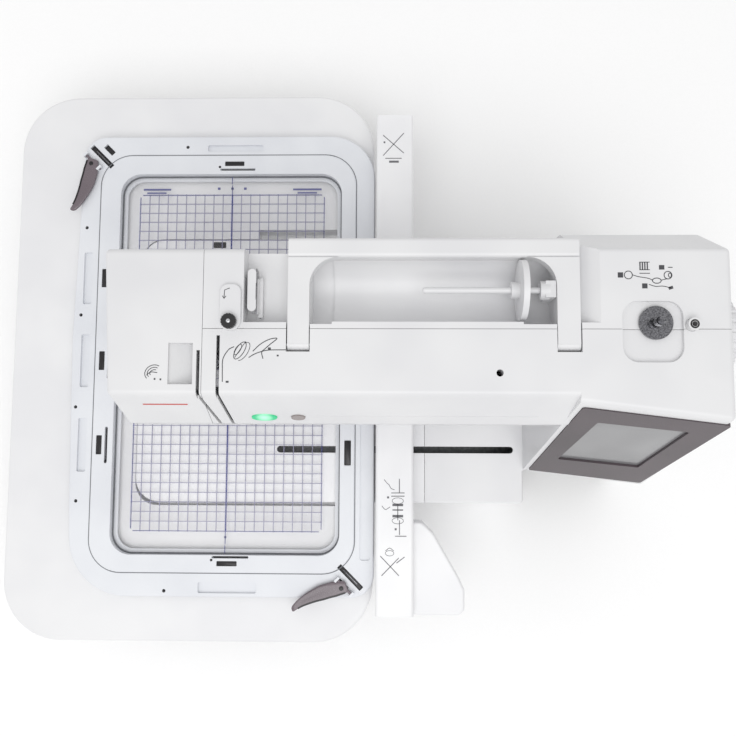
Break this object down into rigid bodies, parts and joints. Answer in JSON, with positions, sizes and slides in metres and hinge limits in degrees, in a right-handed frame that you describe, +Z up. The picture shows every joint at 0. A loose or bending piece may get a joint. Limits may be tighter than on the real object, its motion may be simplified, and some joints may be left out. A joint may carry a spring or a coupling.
{
  "type": "sewing machine",
  "caption": "Computerised sewing and embroidery machine with a leaning touch screen, a moving embroidery beam and hoop with a clear grid template, and a wide extension table.",
  "frame": {"origin": "under the middle of the whole machine with its table, on the surface it stands on", "axes": "+X runs from the free end of the bed towards the tower, +Y from the user's side to the back, +Z up"},
  "size_m": [0.703, 0.589, 0.3185],
  "materials": {
    "white_abs": "satin moulded ABS",
    "table_abs": "satin moulded ABS",
    "hoop_abs": "matte glass-filled plastic",
    "plum_abs": "satin plum plastic",
    "bezel_abs": "matt moulded ABS",
    "screen": "matt coated touch glass",
    "clear_acrylic": "clear sheet",
    "green_lit": "translucent lit cap",
    "brown_cap": "gloss cap",
    "chassis_casting": "as cast",
    "ground_steel": "ground",
    "chrome_plate": "polished",
    "bronze_bush": "sintered bronze",
    "belt_rubber": "ribbed rubber",
    "foot_rubber": "matt rubber",
    "motor_steel": "black enamel",
    "black_abs": "matt moulded plastic",
    "board": "solder-resist coated board",
    "plate_paint": "grey enamel",
    "lamp_lens": "frosted lens"
  },
  "bodies": {
    "machine": {"base_cover": "white_abs", "bed_cover": "white_abs", "bobbin_holder": "black_abs", "bottom_plate": "plate_paint", "chassis": "chassis_casting", "drive_belts": "belt_rubber", "electronics": "board", "face_cover": "white_abs", "front_cover": "white_abs", "motors": "motor_steel", "needle_plate": "chrome_plate", "pivot_pins": "ground_steel", "rear_cover": "white_abs", "rubber_feet": "foot_rubber", "screen_bezel": "bezel_abs", "screen_glass": "screen", "screws": "ground_steel", "shaft_bushes": "bronze_bush", "sockets": "black_abs", "spool_pin": "white_abs", "table_catch": "black_abs", "thread_guides": "white_abs", "winder_stopper": "white_abs", "work_lamp": "lamp_lens", "x_rails": "ground_steel"},
    "main_shaft": {"upper_shaft": "ground_steel", "hand_wheel": "white_abs"},
    "motor_pulley": {"motor_pulley": "ground_steel"},
    "lower_shaft": {"lower_shaft": "ground_steel"},
    "hook": {"rotary_hook": "ground_steel"},
    "bobbin": {"bobbin": "white_abs"},
    "needle_bar": {"needle_bar": "ground_steel", "needle_bar_yoke": "ground_steel", "needle_clamp": "ground_steel", "needle": "chrome_plate"},
    "take_up": {"take_up_lever": "chrome_plate"},
    "presser": {"presser_bar": "ground_steel", "embroidery_foot": "ground_steel"},
    "lifter": {"presser_lifter": "plum_abs"},
    "start_button": {"start_button": "green_lit"},
    "cutter_button": {"cutter_button": "brown_cap"},
    "beam": {"beam_cover": "white_abs", "y_drive": "ground_steel", "x_carriage": "chassis_casting"},
    "hoop": {"hoop_carriage": "black_abs", "hoop_outer_ring": "hoop_abs", "hoop_inner_ring": "hoop_abs", "grid_template": "clear_acrylic"},
    "rear_clamp": {"rear_clamp_lever": "plum_abs"},
    "front_clamp": {"front_clamp_lever": "plum_abs"},
    "handle": {"carrying_handle": "white_abs"},
    "spool_cap": {"spool_holder": "white_abs"},
    "dial": {"tension_dial": "chrome_plate"},
    "winder": {"winder_arm": "ground_steel"},
    "winder_spindle": {"winder_spindle": "chrome_plate"},
    "table": {"table_top": "table_abs", "table_legs": "table_abs"},
    "hook_cover": {"hook_cover": "white_abs"},
    "cover_release": {"hook_cover_release": "black_abs"},
    "rocker": {"power_switch": "black_abs"}
  },
  "joints": [
    {"name": "handwheel_spin", "type": "hinge", "parent": "machine", "child": "main_shaft", "pos_m": [0.3445, 0.008, 0.248], "axis": [1, 0, 0], "continuous": true},
    {"name": "motor_spin", "type": "hinge", "parent": "machine", "child": "motor_pulley", "pos_m": [0.2845, -0.05, 0.15], "axis": [1, 0, 0], "continuous": true},
    {"name": "lower_shaft_spin", "type": "hinge", "parent": "machine", "child": "lower_shaft", "pos_m": [0.2845, 0.003, 0.07], "axis": [1, 0, 0], "continuous": true},
    {"name": "hook_spin", "type": "hinge", "parent": "machine", "child": "hook", "pos_m": [-0.1155, -0.021, 0.09], "axis": [0, 0, 1], "continuous": true},
    {"name": "bobbin_spin", "type": "hinge", "parent": "machine", "child": "bobbin", "pos_m": [-0.1155, -0.021, 0.095], "axis": [0, 0, 1], "continuous": true},
    {"name": "needle_bar_slide", "type": "slide", "parent": "machine", "child": "needle_bar", "axis": [0, 0, -1], "range_m": [0, 0.032]},
    {"name": "take_up_swing", "type": "hinge", "parent": "machine", "child": "take_up", "pos_m": [-0.1045, -0.016, 0.238], "axis": [1, 0, 0], "range_deg": [0, 65.1]},
    {"name": "presser_slide", "type": "slide", "parent": "machine", "child": "presser", "axis": [0, 0, -1], "range_m": [0, 0.0065]},
    {"name": "presser_lift", "type": "hinge", "parent": "machine", "child": "lifter", "pos_m": [-0.0945, 0.034, 0.186], "axis": [-1, 0, 0], "range_deg": [0, 30.1]},
    {"name": "start_press", "type": "slide", "parent": "machine", "child": "start_button", "axis": [0, 0.9085, -0.4179], "range_m": [0, 0.0015], "stiffness_N_per_m": 400},
    {"name": "cutter_press", "type": "slide", "parent": "machine", "child": "cutter_button", "axis": [0, 0.9085, -0.4179], "range_m": [0, 0.0015], "stiffness_N_per_m": 400},
    {"name": "beam_slide", "type": "slide", "parent": "machine", "child": "beam", "axis": [1, 0, 0], "range_m": [-0.1, 0.1]},
    {"name": "hoop_slide", "type": "slide", "parent": "beam", "child": "hoop", "axis": [0, 1, 0], "range_m": [-0.18, 0.18]},
    {"name": "rear_clamp_lift", "type": "hinge", "parent": "hoop", "child": "rear_clamp", "pos_m": [-0.2655, 0.214, 0.1243], "axis": [-0.7071, 0.7071, 0], "range_deg": [0, 100]},
    {"name": "front_clamp_lift", "type": "hinge", "parent": "hoop", "child": "front_clamp", "pos_m": [0.0095, -0.234, 0.1243], "axis": [-0.7071, 0.7071, 0], "range_deg": [0, 100]},
    {"name": "handle_lift", "type": "hinge", "parent": "machine", "child": "handle", "pos_m": [0.0905, -0.006, 0.294], "axis": [1, 0, 0], "range_deg": [0, 92]},
    {"name": "spool_cap_slide", "type": "slide", "parent": "machine", "child": "spool_cap", "axis": [-1, 0, 0], "range_m": [0, 0.075]},
    {"name": "dial_turn", "type": "hinge", "parent": "machine", "child": "dial", "pos_m": [-0.0785, 0.012, 0.304], "axis": [0, 0, 1], "range_deg": [-150, 150]},
    {"name": "winder_shift", "type": "slide", "parent": "machine", "child": "winder", "axis": [1, 0, 0], "range_m": [0, 0.006]},
    {"name": "winder_spin", "type": "hinge", "parent": "winder", "child": "winder_spindle", "pos_m": [0.2745, 0.012, 0.3], "axis": [0, 0, 1], "continuous": true},
    {"name": "table_slide", "type": "slide", "parent": "machine", "child": "table", "axis": [-1, 0, 0], "range_m": [0, 0.26]},
    {"name": "hook_cover_lift", "type": "hinge", "parent": "machine", "child": "hook_cover", "pos_m": [-0.1155, -0.0497, 0.1056], "axis": [1, 0, 0], "range_deg": [0, 1.2]},
    {"name": "cover_release_slide", "type": "slide", "parent": "machine", "child": "cover_release", "axis": [0, 1, 0], "range_m": [0, 0.0019], "stiffness_N_per_m": 300},
    {"name": "power_rock", "type": "hinge", "parent": "machine", "child": "rocker", "pos_m": [0.317, 0.062, 0.048], "axis": [0, 1, 0], "range_deg": [0, 12]}
  ],
  "couplings": [
    {"joint": "motor_spin", "follows": "handwheel_spin", "ratio": 3},
    {"joint": "lower_shaft_spin", "follows": "handwheel_spin", "ratio": 1},
    {"joint": "hook_spin", "follows": "handwheel_spin", "ratio": 2},
    {"joint": "take_up_swing", "follows": "needle_bar_slide", "rad_per_m": 35.45},
    {"joint": "presser_lift", "follows": "presser_slide", "rad_per_m": 80.55}
  ]
}
